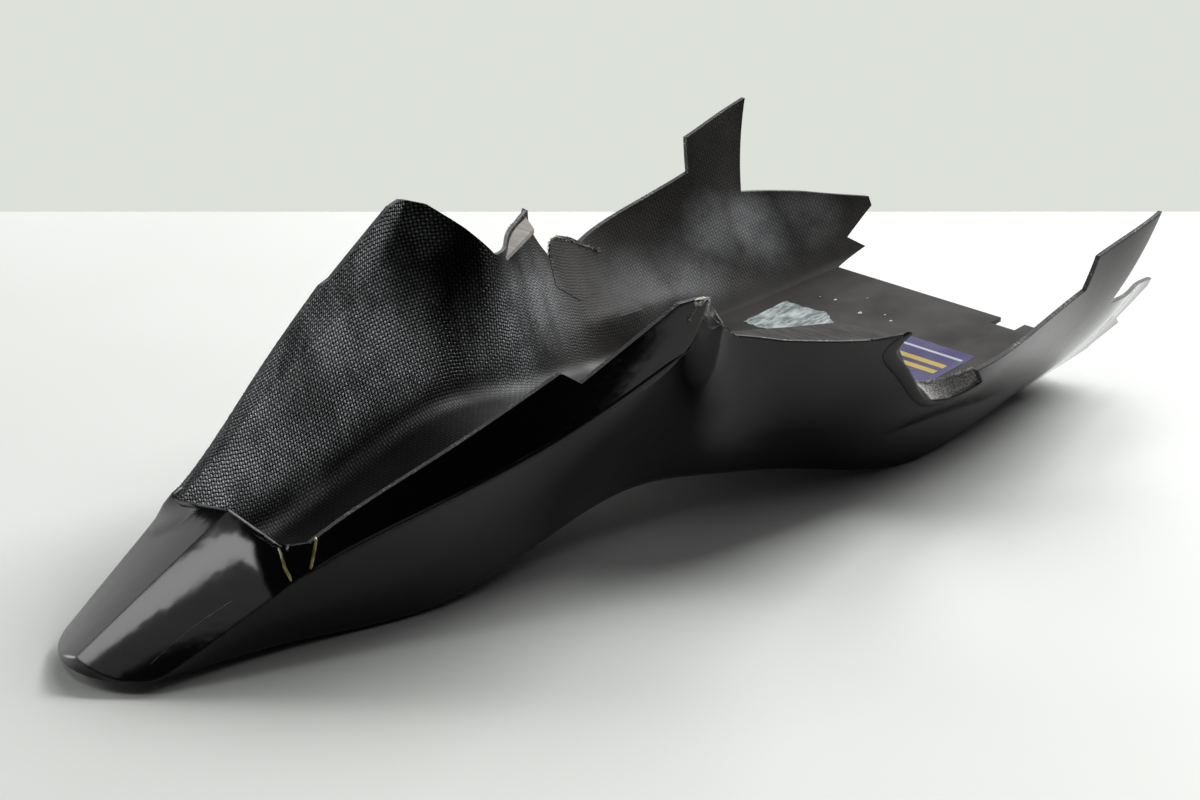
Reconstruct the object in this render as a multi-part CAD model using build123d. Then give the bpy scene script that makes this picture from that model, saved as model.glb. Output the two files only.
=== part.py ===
from build123d import *
import os

# Race seat cowl: a one-piece laid-up shell, lying upside down as it comes to rest.
# X runs from the tail tip to the front, Y to the far side, Z up from the floor, in millimetres.
# The shell is made the way its mould is: a lofted body is cut by the undertail roof and by the
# side bands, hollowed by the same form set in by the wall, and trimmed to a side outline.

os.makedirs("parts", exist_ok=True)

# Laminate and the rounding of the lower edge
WALL = 3.0
KEEL_RADIUS = 5.0

# Lengths from one station to the next, tail tip first
NOSE_LENGTH = 27.0
ROOF_LENGTH = 81.0
HUMP_LENGTH = 85.0
BACKREST_LENGTH = 76.0
PEAK_LENGTH = 79.0
WAIST_LENGTH = 57.0
HORN_LENGTH = 87.0
NOTCH_LENGTH = 48.0
PANEL_LENGTH = 114.0
PRONG_LENGTH = 63.0
FORK_DEPTH = 23.0
TIP_LENGTH = 72.0
PAN_OVERHANG = 24.0

# Half-widths of the lower edge at the stations
NOSE_HALF = 42.0
RIM_HALF = 53.0
HUMP_HALF = 72.0
BACKREST_HALF = 79.0
PEAK_HALF = 83.0
WAIST_HALF = 92.0
HORN_HALF = 113.0
SEAT_HALF = 122.0
PANEL_HALF = 115.0
PRONG_HALF = 111.0
TIP_HALF = 104.0

# Heights of the lower edge: hump on the floor, arch over the seat, pan that climbs to the front
NOSE_LIFT = 8.0
CROWN = 2.5
BACKREST_Z = 17.0
ARCH_Z = 31.0
WAIST_FLOOR_Z = 24.0
HORN_FLOOR_Z = 7.0
PAN_SLOPE = 0.092

# Undertail roof: ridge, valleys beside it and the ears at its rim
RIDGE_TIP_Z = 13.5
RIDGE_RIM_Z = 66.0
VALLEY_HALF = 40.0
VALLEY_Z = 58.5
EAR_HALF = 54.5
EAR_Z = 60.0
EAR_LENGTH = 10.0

# Rolled edge below the side bands
NOSE_EDGE_Z = 8.0
RIM_EDGE_Z = 45.5
HUMP_EDGE_Z = 73.0
BACKREST_EDGE_Z = 98.0
PEAK_EDGE_Z = 128.0

# Trim outline
STEP_Z = 131.0
STEP_DROP_NEAR = 12.0
STEP_DROP_FAR = 3.0
PEAK_Z = 159.0
WAIST_Z = 115.5
HORN_Z = 109.5
NOTCH_Z = 53.0
LIP_Z = 79.0
SHOULDER_Z = 97.5
SHOULDER_RISE = 22.5
PRONG_Z = 135.0
FORK_Z = 76.0
TIP_Z = 59.0
TIP_HEIGHT = 6.0

# Shelf between waist and horn, whole on the near side and broken short on the far side
SHELF_WIDTH_NEAR = 22.0
SHELF_WIDTH_FAR = 13.0

# Notch in the front edge of the seat pan
PAN_NOTCH_FROM = 38.0
PAN_NOTCH_WIDTH = 20.0
PAN_NOTCH_DEPTH = 11.0

# Stations
NOSE_X = NOSE_LENGTH
RIM_X = NOSE_X + ROOF_LENGTH
HUMP_X = RIM_X + HUMP_LENGTH
BACKREST_X = HUMP_X + BACKREST_LENGTH
PEAK_X = BACKREST_X + PEAK_LENGTH
WAIST_X = PEAK_X + WAIST_LENGTH
HORN_X = WAIST_X + HORN_LENGTH
SEAT_X = HORN_X + NOTCH_LENGTH
SHOULDER_X = SEAT_X + PANEL_LENGTH
PRONG_X = SHOULDER_X + PRONG_LENGTH
FORK_X = PRONG_X - FORK_DEPTH
PAN_FRONT_X = PRONG_X + PAN_OVERHANG
TIP_X = PRONG_X + TIP_LENGTH

# Reach of the cutting blocks past the object
PAST = 60.0
BODY_TOP = PEAK_Z + 26.0
OUTSIDE = 2 * SEAT_HALF


def pan_z(x):
    """Height of the seat pan's outer face."""
    return PAN_SLOPE * (x - SEAT_X)


class Rib:
    """One half cross-section. Each point of the side is given as (out, up) from the lower edge."""

    def __init__(self, x, half, floor, crease, middle, top_out, crown=0.0):
        self.x = x
        self.floor = floor
        self.keel = Vector(half, floor + crown)
        self.crease = self.keel + Vector(*crease)
        self.middle = self.keel + Vector(*middle)
        self.top = Vector(half + top_out, BODY_TOP)


class StraightRib(Rib):
    """A cross-section whose side leans out by flare for each millimetre of height."""

    def __init__(self, x, half, floor, flare, crown=0.0):
        height = BODY_TOP - floor - crown
        self.flare = flare
        super().__init__(x, half, floor, (flare * 18, 18), (flare * 80, 80), flare * height, crown)

    def half_at(self, z):
        return self.keel.X + self.flare * (z - self.keel.Y)


tail = StraightRib(-PAST / 2, NOSE_HALF - 6, NOSE_LIFT, 0.30, CROWN)
nose = StraightRib(NOSE_X, NOSE_HALF, NOSE_LIFT / 3, 0.30, CROWN)
rim = StraightRib(RIM_X, RIM_HALF, 0, 0.20, CROWN)
hump = StraightRib(HUMP_X, HUMP_HALF, 0, 0.225, 1)
backrest = StraightRib(BACKREST_X, BACKREST_HALF, BACKREST_Z, 0.375, 1)
peak = StraightRib(PEAK_X - 11, PEAK_HALF, ARCH_Z, 0.435, 1)
RIBS = [
    tail,
    nose,
    rim,
    hump,
    backrest,
    peak,
    Rib(WAIST_X, WAIST_HALF, WAIST_FLOOR_Z, (3, 20), (7, 55), 17),
    Rib(HORN_X - 39, HORN_HALF - 12, (WAIST_FLOOR_Z + HORN_FLOOR_Z) / 2, (8, 22), (25, 60), 72),
    Rib(HORN_X, HORN_HALF, HORN_FLOOR_Z, (13, 24), (34, 63), 73),
    Rib(SEAT_X, SEAT_HALF, -1, (10, 31), (38, 60), 60),
    Rib(SHOULDER_X, PANEL_HALF, pan_z(SHOULDER_X) - 1, (16, 16), (47, 66), 67),
    Rib(PRONG_X, PRONG_HALF, pan_z(PRONG_X) - 1, (15, 18), (40, 51), 73),
    Rib(TIP_X - 31, PRONG_HALF - 3, pan_z(TIP_X - 31) - 1, (15, 25), (29, 49), 73),
    Rib(TIP_X + 17, TIP_HALF, pan_z(TIP_X + 17) - 1, (17, 36), (22, 49), 68),
]


def set_in(rib, depth):
    """The points of a rib's side moved in by depth, and its floor raised by as much."""
    points = [Vector(0, rib.keel.Y), rib.keel, rib.crease, rib.middle, rib.top]
    normals = []
    for start, end in zip(points, points[1:]):
        along = (end - start).normalized()
        normals.append(Vector(-along.Y, along.X))
    moved = []
    for point, before, after in zip(points[1:], normals, normals[1:] + normals[-1:]):
        middle = (before + after).normalized()
        moved.append(point + middle * (depth / middle.dot(before)))
    moved[-1] = Vector(moved[-1].X, BODY_TOP)
    return moved


def rib_face(rib, depth):
    """The closed cross-section of the body, set in by depth. Only the outside has a rounded lower edge."""
    keel, crease, middle, top = set_in(rib, depth)

    def across(point):
        return Vector(-point.X, point.Y)

    with BuildSketch(Plane.YZ.offset(rib.x)) as sketch:
        with BuildLine():
            Spline(across(keel), Vector(0, rib.floor + depth), keel)
            Line(keel, crease)
            Spline(crease, middle, top)
            Line(top, across(top))
            Spline(across(top), across(middle), across(crease))
            Line(across(crease), across(keel))
        make_face()
        if depth < WALL:
            fillet(sketch.vertices().sort_by(Axis.Y)[:2], KEEL_RADIUS - depth)
    return sketch.sketch


def body(depth):
    return loft([rib_face(rib, depth) for rib in RIBS])


def ruled_block(stations):
    """A solid with straight faces through polygons given as (x, [(y, z), ...])."""
    wires = [Wire.make_polygon([(x, y, z) for y, z in points]) for x, points in stations]
    return Part() + Solid.make_loft(wires, ruled=True)


def carried_on(before, last, x):
    """The values of a station at x, on the straight line through two others."""
    share = (x - last[0]) / (last[0] - before[0])
    return tuple(end + share * (end - start) for start, end in zip(before, last))


def band_cutter(depth):
    """What lies outside the side bands, which lean in above the rolled edge."""
    edges = [
        (rim, RIM_EDGE_Z, -0.72),
        (hump, HUMP_EDGE_Z, -0.32),
        (backrest, BACKREST_EDGE_Z, -0.13),
        (peak, PEAK_EDGE_Z, -0.05),
    ]
    lines = [(rib.x, rib.half_at(z), z, lean) for rib, z, lean in edges]
    lines.insert(0, carried_on(lines[1], lines[0], RIM_X - EAR_LENGTH / 2))
    lines.append(carried_on(lines[-2], lines[-1], WAIST_X + WAIST_LENGTH / 2))
    below = 26
    above = 60
    stations = []
    for x, half, z, lean in lines:
        low = (half - depth - lean * below, z - below)
        high = (half - depth + lean * above, z + above)
        roof = BODY_TOP + PAST
        stations.append((x, [low, (OUTSIDE, low[1]), (OUTSIDE, roof), (high[0], roof), high]))
    block = ruled_block(stations)
    return block + mirror(block, Plane.XZ)


def roof_cutter(depth):
    """What lies above the undertail roof, behind its rim."""
    slope = (RIDGE_RIM_Z - RIDGE_TIP_Z) / RIM_X
    edge_slope = (RIM_EDGE_Z - NOSE_EDGE_Z) / (RIM_X - NOSE_X)
    reach = 2 * RIM_HALF
    rim_half = rim.half_at(RIM_EDGE_Z)
    halves = []
    for x in (-NOSE_X, NOSE_X, RIM_X - EAR_LENGTH):
        share = (x - NOSE_X) / (RIM_X - NOSE_X)
        edge_half = nose.half_at(NOSE_EDGE_Z) * (1 - share) + rim_half * share
        ridge_z = RIDGE_TIP_Z + slope * x
        fall = (NOSE_EDGE_Z + edge_slope * (x - NOSE_X) - ridge_z) / edge_half
        widths = [0, edge_half * VALLEY_HALF / rim_half, edge_half * EAR_HALF / rim_half, edge_half, reach]
        halves.append((x, [(y, ridge_z + fall * y) for y in widths]))
    ear = [(0, RIDGE_RIM_Z), (VALLEY_HALF, VALLEY_Z), (EAR_HALF, EAR_Z), (rim_half, RIM_EDGE_Z), (reach, 0)]
    halves.append((RIM_X, ear))
    stations = []
    for x, line in halves:
        right = [(y, z - depth) for y, z in line] + [(reach, BODY_TOP + PAST)]
        stations.append((x, [(-y, z) for y, z in reversed(right[1:])] + right))
    return ruled_block(stations)


def nose_prism(depth):
    """Everything inside the round nose, seen from above."""
    half = nose.half_at(NOSE_EDGE_Z) - depth
    with BuildSketch() as sketch:
        with BuildLine():
            arc = ThreePointArc((NOSE_X, -half), (depth, 0), (NOSE_X, half))
            Polyline(
                arc @ 1,
                (NOSE_X, OUTSIDE),
                (TIP_X + PAST, OUTSIDE),
                (TIP_X + PAST, -OUTSIDE),
                (NOSE_X, -OUTSIDE),
                arc @ 0,
            )
        make_face()
    return extrude(Plane.XY.offset(-PAST) * sketch.sketch, BODY_TOP + 2 * PAST)


def pan_cutter(depth):
    """What lies below the flat seat pan."""
    front = TIP_X + PAST
    with BuildSketch(Plane.XZ) as sketch:
        with BuildLine():
            Polyline(
                (SEAT_X, depth),
                (front, pan_z(front) + depth),
                (front, -PAST),
                (SEAT_X, -PAST),
                close=True,
            )
        make_face()
    return extrude(sketch.sketch, OUTSIDE, both=True)


def plug(depth):
    """The whole form: the mould's face, or the inside of the laminate where it is set in by the wall."""
    form = body(depth) & nose_prism(depth)
    return form - pan_cutter(depth) - band_cutter(depth) - roof_cutter(depth)


def side_prism(points, *sides):
    """A side outline, given as (x, z), stretched over the sides named: -1 is near, 1 is far."""
    with BuildSketch(Plane.XZ) as sketch:
        with BuildLine():
            Polyline(*points, close=True)
        make_face()
    if len(sides) > 1:
        return extrude(sketch.sketch, OUTSIDE, both=True)
    return extrude(sketch.sketch, -sides[0] * OUTSIDE)


def trim_prism():
    """What the trimming keeps, as seen from the side."""
    pan_front = (PAN_FRONT_X, pan_z(PAN_FRONT_X) + WALL)
    front = [
        pan_front,
        (TIP_X - 17, TIP_Z - 30),
        (TIP_X - 29, TIP_Z - 22),
        (TIP_X, TIP_Z - TIP_HEIGHT),
        (TIP_X, TIP_Z),
        ((FORK_X + TIP_X) / 2, FORK_Z - 7),
        (FORK_X, FORK_Z),
        (PRONG_X, PRONG_Z),
        (SHOULDER_X + 2, SHOULDER_Z + SHOULDER_RISE),
        (SHOULDER_X - 2, SHOULDER_Z),
    ]
    notch = [
        (SEAT_X + 7, NOTCH_Z + 20),
        (SEAT_X + 21, NOTCH_Z + 7),
        (SEAT_X, NOTCH_Z),
        (SEAT_X - 14, NOTCH_Z + 2),
        (HORN_X + 17, NOTCH_Z + 17),
        (HORN_X + 3, HORN_Z - 22),
        (HORN_X - 5, HORN_Z - 9),
        (HORN_X, HORN_Z),
    ]
    rear = [
        (HORN_X - 19, HORN_Z - 1.5),
        (WAIST_X + 25, HORN_Z + 0.5),
        (WAIST_X, WAIST_Z),
        (WAIST_X - 22, WAIST_Z + 22),
        (PEAK_X + 16, PEAK_Z - 5),
        (PEAK_X, PEAK_Z),
        (PEAK_X - 12, PEAK_Z - 1),
        (BACKREST_X + 5, STEP_Z + 4 - STEP_DROP_FAR),
        (BACKREST_X - 6, STEP_Z),
        (RIM_X + EAR_LENGTH, EAR_Z),
        (RIM_X, EAR_Z),
        (RIM_X, RIDGE_RIM_Z + PAST),
        (-PAST, RIDGE_RIM_Z + PAST),
    ]
    below = [(-PAST, -PAST), (PAN_FRONT_X, -PAST)]
    return side_prism(below + front + notch + rear, -1, 1)


def near_step():
    """What the deeper step on the near side takes away."""
    outline = [
        (BACKREST_X - 6, STEP_Z),
        (BACKREST_X + 5, STEP_Z + 4 - STEP_DROP_NEAR),
        (PEAK_X - 12, PEAK_Z - 1),
        (BACKREST_X - 6, PEAK_Z + PAST),
    ]
    return side_prism(outline, -1)


def lips():
    """The recessed lips that stand in the notches, lapped behind the outer skin."""
    outline = [
        (SEAT_X - 38, NOTCH_Z + 7),
        (SEAT_X - 24, LIP_Z - 2),
        (SEAT_X - 16, LIP_Z),
        (SEAT_X - 6, LIP_Z),
        (SEAT_X + 7, NOTCH_Z + 20),
        (SEAT_X + 27, NOTCH_Z + 6),
        (SEAT_X, NOTCH_Z - 8),
        (SEAT_X - 20, NOTCH_Z - 8),
    ]
    lap = WALL / 3
    skin = body(WALL - lap) - body(2 * WALL - lap)
    return skin & side_prism(outline, -1), skin & side_prism(outline, 1)


def shelf(side, width):
    """The flat flange turned in along the top of the wall between waist and horn."""
    run = HORN_X - WAIST_X
    top_half = HORN_HALF + 50
    waist_half = WAIST_HALF + 8
    with BuildSketch() as sketch:
        with BuildLine():
            Polyline(
                (WAIST_X, side * waist_half),
                (WAIST_X + 0.4 * run, side * (waist_half + 0.5 * (top_half - waist_half) - width)),
                (WAIST_X + 0.8 * run, side * (waist_half + 0.8 * (top_half - waist_half) - width)),
                (HORN_X - WALL, side * (top_half - WALL)),
                (HORN_X - WALL, side * OUTSIDE),
                (WAIST_X, side * OUTSIDE),
                close=True,
            )
        make_face()
    return extrude(Plane.XY.offset(HORN_Z - 2 * WALL) * sketch.sketch, WALL)


def pan_notch():
    """The small cut in the front edge of the seat pan."""
    middle_y = -PAN_NOTCH_FROM - PAN_NOTCH_WIDTH / 2
    cut = Box(2 * PAN_NOTCH_DEPTH, PAN_NOTCH_WIDTH, PAST)
    return Pos(PAN_FRONT_X, middle_y, pan_z(PAN_FRONT_X)) * cut


shell = plug(0) - plug(WALL)
trimmed = (shell & trim_prism()) - near_step() - pan_notch()
shelf_room = body(WALL / 2)
cowl = trimmed + (shelf(-1, SHELF_WIDTH_NEAR) & shelf_room) + (shelf(1, SHELF_WIDTH_FAR) & shelf_room)
near_lip, far_lip = lips()
cowl = cowl + near_lip + far_lip

# The origin is under the middle of the finished part, on the floor
box = cowl.bounding_box()
cowl = Pos(-box.center().X, -box.center().Y, -box.min.Z) * cowl
export_step(cowl, "parts/seat_cowl.step")
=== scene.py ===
import math

import bmesh
import bpy
import numpy as np
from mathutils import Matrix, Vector


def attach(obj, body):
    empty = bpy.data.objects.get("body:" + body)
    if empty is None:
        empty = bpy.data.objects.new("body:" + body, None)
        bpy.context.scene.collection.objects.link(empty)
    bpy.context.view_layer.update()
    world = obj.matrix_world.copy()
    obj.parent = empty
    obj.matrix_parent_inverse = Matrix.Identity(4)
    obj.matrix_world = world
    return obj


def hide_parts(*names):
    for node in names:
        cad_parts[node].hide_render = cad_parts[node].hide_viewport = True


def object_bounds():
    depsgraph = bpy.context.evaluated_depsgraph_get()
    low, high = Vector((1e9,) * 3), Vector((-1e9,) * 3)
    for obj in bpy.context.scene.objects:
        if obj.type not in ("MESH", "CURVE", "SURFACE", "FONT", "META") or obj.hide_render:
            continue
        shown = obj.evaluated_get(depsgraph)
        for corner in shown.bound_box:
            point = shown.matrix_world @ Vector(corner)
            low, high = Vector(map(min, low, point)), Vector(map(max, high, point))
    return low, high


# Frame
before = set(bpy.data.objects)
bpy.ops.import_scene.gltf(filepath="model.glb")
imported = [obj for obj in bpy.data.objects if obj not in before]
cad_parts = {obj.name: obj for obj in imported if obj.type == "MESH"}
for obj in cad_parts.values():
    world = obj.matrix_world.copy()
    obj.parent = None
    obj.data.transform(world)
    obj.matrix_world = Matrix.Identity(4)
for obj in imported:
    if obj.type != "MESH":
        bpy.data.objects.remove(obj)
cad_low, cad_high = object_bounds()
LOW = np.array(cad_low)
HIGH = np.array(cad_high)
MM = 0.001

# Laminate and the rounding of the lower edge, in millimetres
WALL = 3.0
KEEL_RADIUS = 5.0
INNER_RADIUS = 13.0

# Stations along the cowl, in millimetres from the tail tip
NOSE_X = 27.0
RIM_X = 108.0
HUMP_X = 193.0
BACKREST_X = 269.0
PEAK_X = 348.0
WAIST_X = 405.0
HORN_X = 492.0
SEAT_X = 540.0
SHOULDER_X = 654.0
PRONG_X = 717.0
FORK_X = 694.0
PAN_FRONT_X = 741.0
TIP_X = 789.0
# The pan's slope, how far the loft goes under it before the cut, and the lift onto the floor
PAN_SLOPE = 0.092
PAN_SPARE = 1.0
LIFT = 1.0
# The loft's top, and how far the cutters reach past it and to the sides
BODY_TOP = 185.0
PAST = 60.0
OUTSIDE = 244.0


def to_row(points):
    """Millimetres from the tail tip to metres in the row's frame."""
    points = np.asarray(points, float)
    shift = np.array([-TIP_X / 2, 0, LIFT])
    return (points + shift) * MM


def pan_z(x):
    """Height of the pan's underside."""
    return PAN_SLOPE * (x - SEAT_X)


# Cross-sections: x, floor height, then keel, crease, middle and top of the side

CREASE_UP = 18
MIDDLE_UP = 80


def rib(x, half, floor, crease, middle, top_out, crown=0.0):
    """A section from its half-width at the keel, with crease and middle measured from there."""
    keel = (half, floor + crown)
    return [x, floor, *keel, *np.add(keel, crease), *np.add(keel, middle), half + top_out]


def straight_rib(x, half, floor, flare, crown):
    """A section whose side goes straight up, flaring outwards."""
    height = BODY_TOP - floor - crown
    crease = (flare * CREASE_UP, CREASE_UP)
    middle = (flare * MIDDLE_UP, MIDDLE_UP)
    return rib(x, half, floor, crease, middle, flare * height, crown)


RIBS = np.array(
    [
        straight_rib(-30, 36, 8, 0.30, 2.5),
        straight_rib(NOSE_X, 42, 8 / 3, 0.30, 2.5),
        straight_rib(RIM_X, 53, 0, 0.20, 2.5),
        straight_rib(HUMP_X, 72, 0, 0.225, 1),
        straight_rib(BACKREST_X, 79, 17, 0.375, 1),
        straight_rib(PEAK_X - 11, 83, 31, 0.435, 1),
        rib(WAIST_X, 92, 24, (3, 20), (7, 55), 17),
        rib(HORN_X - 39, 101, 15.5, (8, 22), (25, 60), 72),
        rib(HORN_X, 113, 7, (13, 24), (34, 63), 73),
        rib(SEAT_X, 122, -PAN_SPARE, (10, 31), (38, 60), 60),
        rib(SHOULDER_X, 115, pan_z(SHOULDER_X) - PAN_SPARE, (16, 16), (47, 66), 67),
        rib(PRONG_X, 111, pan_z(PRONG_X) - PAN_SPARE, (15, 18), (40, 51), 73),
        rib(TIP_X - 31, 108, pan_z(TIP_X - 31) - PAN_SPARE, (15, 25), (29, 49), 73),
        rib(TIP_X + 17, 104, pan_z(TIP_X + 17) - PAN_SPARE, (17, 36), (22, 49), 68),
    ]
)


def cubic(knots, values, at):
    """A natural cubic spline through values at the knots, in any number of columns."""
    knots = np.asarray(knots, float)
    values = np.asarray(values, float).reshape(len(knots), -1)
    count = len(knots)
    step = np.diff(knots)
    slope = np.diff(values, axis=0) / step[:, None]
    matrix = np.eye(count)
    right = np.zeros_like(values)
    for i in range(1, count - 1):
        matrix[i, i - 1 : i + 2] = step[i - 1], 2 * (step[i - 1] + step[i]), step[i]
        right[i] = 6 * (slope[i] - slope[i - 1])
    bend = np.linalg.solve(matrix, right)
    at = np.clip(at, knots[0], knots[-1])
    i = np.clip(np.searchsorted(knots, at) - 1, 0, count - 2)
    t = (at - knots[i])[:, None]
    h = step[i][:, None]
    first = slope[i] - h * (2 * bend[i] + bend[i + 1]) / 6
    return values[i] + t * (first + t * (bend[i] / 2 + t * (bend[i + 1] - bend[i]) / (6 * h)))


def rib_at(x):
    """Interpolated cross-section values for an array of x."""
    return cubic(RIBS[:, 0], RIBS[:, 1:], np.asarray(x, float))


def unit(v):
    return v / np.linalg.norm(v)


# How finely a section is drawn, and how far its points stay from the rounded keel
FLOOR_POINTS = 25
CREASE_POINTS = 9
WALL_POINTS = 57
KEEL_POINTS = 9
KEEL_CLEAR = 0.3


def section(values, depth):
    """Half a closed cross-section, from the middle of the floor up to the top corner."""
    floor = values[0]
    keel, crease, middle = values[1:3], values[3:5], values[5:7]
    top = np.array([values[7], BODY_TOP])
    points = [np.array([0, keel[1]]), keel, crease, middle, top]
    normals = []
    for start, end in zip(points, points[1:]):
        along = unit(end - start)
        normals.append(np.array([-along[1], along[0]]))
    moved = []
    for point, before, after in zip(points[1:], normals, normals[1:] + normals[-1:]):
        mid = unit(before + after)
        moved.append(point + mid * depth / mid.dot(before))
    keel, crease, middle, top = moved
    top = np.array([top[0], BODY_TOP])
    # floor: a parabola from the middle to the keel
    share = np.linspace(0, 1, FLOOR_POINTS)
    low = floor + depth
    floor_line = np.stack([share * keel[0], low + (keel[1] - low) * share**2], 1)
    # wall: straight to the crease, then a curve through the middle
    straight = keel + (crease - keel) * np.linspace(0, 1, CREASE_POINTS)[1:, None]
    lengths = np.array([0, np.linalg.norm(middle - crease), 0])
    lengths[2] = lengths[1] + np.linalg.norm(top - middle)
    along = np.linspace(0, 1, WALL_POINTS)[1:] * lengths[2]
    matrix = np.stack([lengths**0, lengths, lengths**2], 1)
    curve = np.linalg.solve(matrix, np.array([crease, middle, top]))
    wall = np.stack([along**0, along, along**2], 1) @ curve
    line = np.concatenate([floor_line, straight, wall])
    radius = KEEL_RADIUS - depth if depth < WALL else INNER_RADIUS
    if radius > 0:
        before = unit(floor_line[-2] - keel)
        after = unit(crease - keel)
        half_angle = math.acos(np.clip(before.dot(after), -1, 1)) / 2
        back = radius / math.tan(half_angle)
        centre = keel + unit(before + after) * radius / math.sin(half_angle)
        start = keel + before * back - centre
        end = keel + after * back - centre
        a0 = math.atan2(start[1], start[0])
        a1 = math.atan2(end[1], end[0])
        turn = (a1 - a0 + math.pi) % (2 * math.pi) - math.pi
        angles = a0 + turn * np.linspace(0, 1, KEEL_POINTS)
        arc = centre + radius * np.stack([np.cos(angles), np.sin(angles)], 1)
        away = np.linalg.norm(line - keel, axis=1)
        far = away > back + KEEL_CLEAR
        split = np.argmin(away)
        line = np.concatenate([line[:split][far[:split]], arc, line[split:][far[split:]]])
    return line


def even(line, count):
    """The same line with count points, spread by how it was drawn."""
    at = np.linspace(0, len(line) - 1, count)
    i = np.minimum(at.astype(int), len(line) - 2)
    t = (at - i)[:, None]
    return line[i] * (1 - t) + line[i + 1] * t


# Mesh helpers


def mesh_object(name, points, faces, materials):
    """A piece with its faces turned outwards."""
    mesh = bpy.data.meshes.new(name)
    mesh.from_pydata([tuple(p) for p in points], [], [tuple(f) for f in faces])
    for material in materials:
        mesh.materials.append(material)
    bm = bmesh.new()
    bm.from_mesh(mesh)
    bmesh.ops.recalc_face_normals(bm, faces=bm.faces)
    bm.to_mesh(mesh)
    bm.free()
    obj = bpy.data.objects.new(name, mesh)
    bpy.context.scene.collection.objects.link(obj)
    return obj


def rectangle(x, y, length, width):
    return [(x, y), (x + length, y), (x + length, y + width), (x, y + width)]


def ring_caps(count, ring):
    """The two end faces of count points that stand in rings."""
    return [range(ring), range(count - ring, count)]


def ring_sides(rings, ring):
    """The faces between a row of rings."""
    faces = []
    for i in range(rings - 1):
        for j in range(ring):
            k = (j + 1) % ring
            faces.append((i * ring + j, i * ring + k, (i + 1) * ring + k, (i + 1) * ring + j))
    return faces


BODY_STATIONS = 241
BODY_POINTS = 80


def body(depth, material):
    """The lofted body as a fine closed mesh, in millimetres."""
    xs = np.linspace(RIBS[0, 0], RIBS[-1, 0], BODY_STATIONS)
    loops = []
    for x, values in zip(xs, rib_at(xs)):
        half = even(section(values, depth), BODY_POINTS)
        other = half[1:][::-1] * [-1, 1]
        loop = np.concatenate([other, half])
        loops.append(np.column_stack([np.full(len(loop), x), loop]))
    ring = len(loops[0])
    points = np.concatenate(loops)
    faces = ring_sides(len(loops), ring) + ring_caps(len(points), ring)
    return mesh_object("body", points, faces, [material])


def ruled_block(stations, material):
    """A solid with straight faces through polygons given as (x, [(y, z), ...])."""
    ring = len(stations[0][1])
    points = [(x, y, z) for x, polygon in stations for y, z in polygon]
    faces = ring_caps(len(points), ring) + ring_sides(len(stations), ring)
    return mesh_object("block", points, faces, [material])


def prism(outline, plane, start, end, material):
    """An outline stretched from start to end: in plane "xz" along y, in plane "xy" along z."""
    ring = len(outline)
    points = []
    for level in (start, end):
        for a, b in outline:
            points.append((a, level, b) if plane == "xz" else (a, b, level))
    faces = ring_caps(len(points), ring) + ring_sides(2, ring)
    return mesh_object("prism", points, faces, [material])


def combine(target, tool, operation):
    """Cuts, joins or keeps what two pieces share, and drops the tool."""
    modifier = target.modifiers.new("cut", "BOOLEAN")
    modifier.operation = operation
    modifier.solver = "MANIFOLD"
    modifier.object = tool
    modifier.material_mode = "TRANSFER"
    bpy.context.view_layer.update()
    graph = bpy.context.evaluated_depsgraph_get()
    mesh = bpy.data.meshes.new_from_object(target.evaluated_get(graph))
    target.modifiers.clear()
    old = target.data
    target.data = mesh
    bpy.data.meshes.remove(old)
    used = tool.data
    bpy.data.objects.remove(tool)
    bpy.data.meshes.remove(used)


# Materials


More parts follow.
